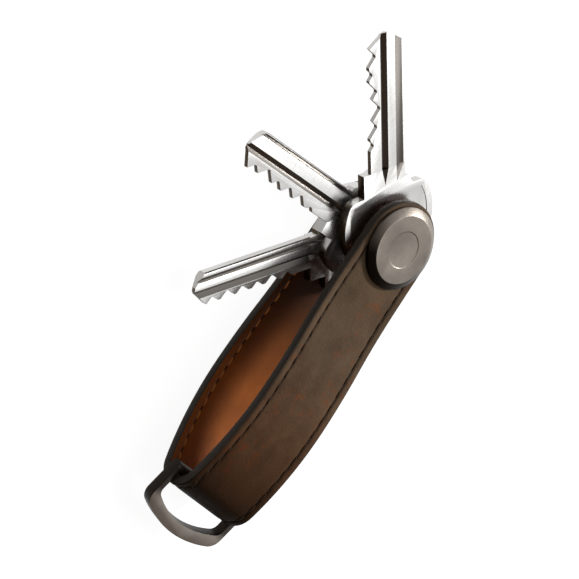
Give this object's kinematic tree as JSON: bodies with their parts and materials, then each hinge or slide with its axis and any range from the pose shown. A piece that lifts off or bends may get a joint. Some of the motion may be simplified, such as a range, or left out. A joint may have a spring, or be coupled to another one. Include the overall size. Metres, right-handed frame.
{
  "type": "key organiser",
  "caption": "Leather loop closed by a round post between two low knobs; keys swing out from the post and a D-ring hangs at the other end.",
  "frame": {"origin": "on the post's axis, in the plane of the rear knob's flat outer face, which the object lies on", "axes": "+Z along the post from the rear knob to the front knob; +X along the strap from the D-ring to the knobs; +Y across the strap, to the side the keys fan out on"},
  "size_m": [0.108, 0.0576, 0.0177],
  "materials": {
    "outer_leather": "waxed brown leather with a worn, slightly pulled-up surface",
    "lining_leather": "smooth tan leather",
    "core_strip": "thin stiffening strip",
    "edge_paint": "matte dark edge paint",
    "thread_brown": "waxed brown thread",
    "thread_orange": "waxed orange thread",
    "gunmetal": "satin bead-blasted warm grey coating",
    "steel": "plain turned steel",
    "nylon": "black moulded nylon",
    "nickel": "polished nickel plate"
  },
  "bodies": {
    "strap": {"outer_leather": "outer_leather", "core_strip": "core_strip", "lining_leather": "lining_leather", "front_eyelet": "steel", "rear_eyelet": "steel", "front_knob": "gunmetal", "post_barrel": "steel", "friction_washer": "nylon", "key_spacers": "nylon", "lock_washer": "steel", "spring_washer": "steel"},
    "front_key": {"key_front": "nickel"},
    "middle_key": {"key_middle": "nickel"},
    "rear_key": {"key_rear": "nickel"},
    "ring": {"d_ring": "gunmetal"},
    "rear_cap": {"rear_knob": "gunmetal"},
    "screw": {"lock_screw": "gunmetal"}
  },
  "joints": [
    {"name": "front_key_turn", "type": "hinge", "parent": "strap", "child": "front_key", "pos_m": [0, 0, 0.0119], "axis": [0, 0, 1], "continuous": true},
    {"name": "middle_key_turn", "type": "hinge", "parent": "strap", "child": "middle_key", "pos_m": [0, 0, 0.0087], "axis": [0, 0, 1], "continuous": true},
    {"name": "rear_key_turn", "type": "hinge", "parent": "strap", "child": "rear_key", "pos_m": [0, 0, 0.0055], "axis": [0, 0, 1], "continuous": true},
    {"name": "ring_swing", "type": "hinge", "parent": "strap", "child": "ring", "pos_m": [-0.0628, 0, 0.0087], "axis": [0, 1, 0], "range_deg": [-85, 115]},
    {"name": "rear_cap_travel", "type": "slide", "parent": "strap", "child": "rear_cap", "axis": [0, 0, -1], "range_m": [0, 0.001]},
    {"name": "lock_screw_turn", "type": "hinge", "parent": "rear_cap", "child": "screw", "pos_m": [0, 0, 0], "axis": [0, 0, -1], "range_deg": [0, 720]}
  ],
  "couplings": [
    {"joint": "lock_screw_turn", "follows": "rear_cap_travel", "rad_per_m": 12566}
  ]
}
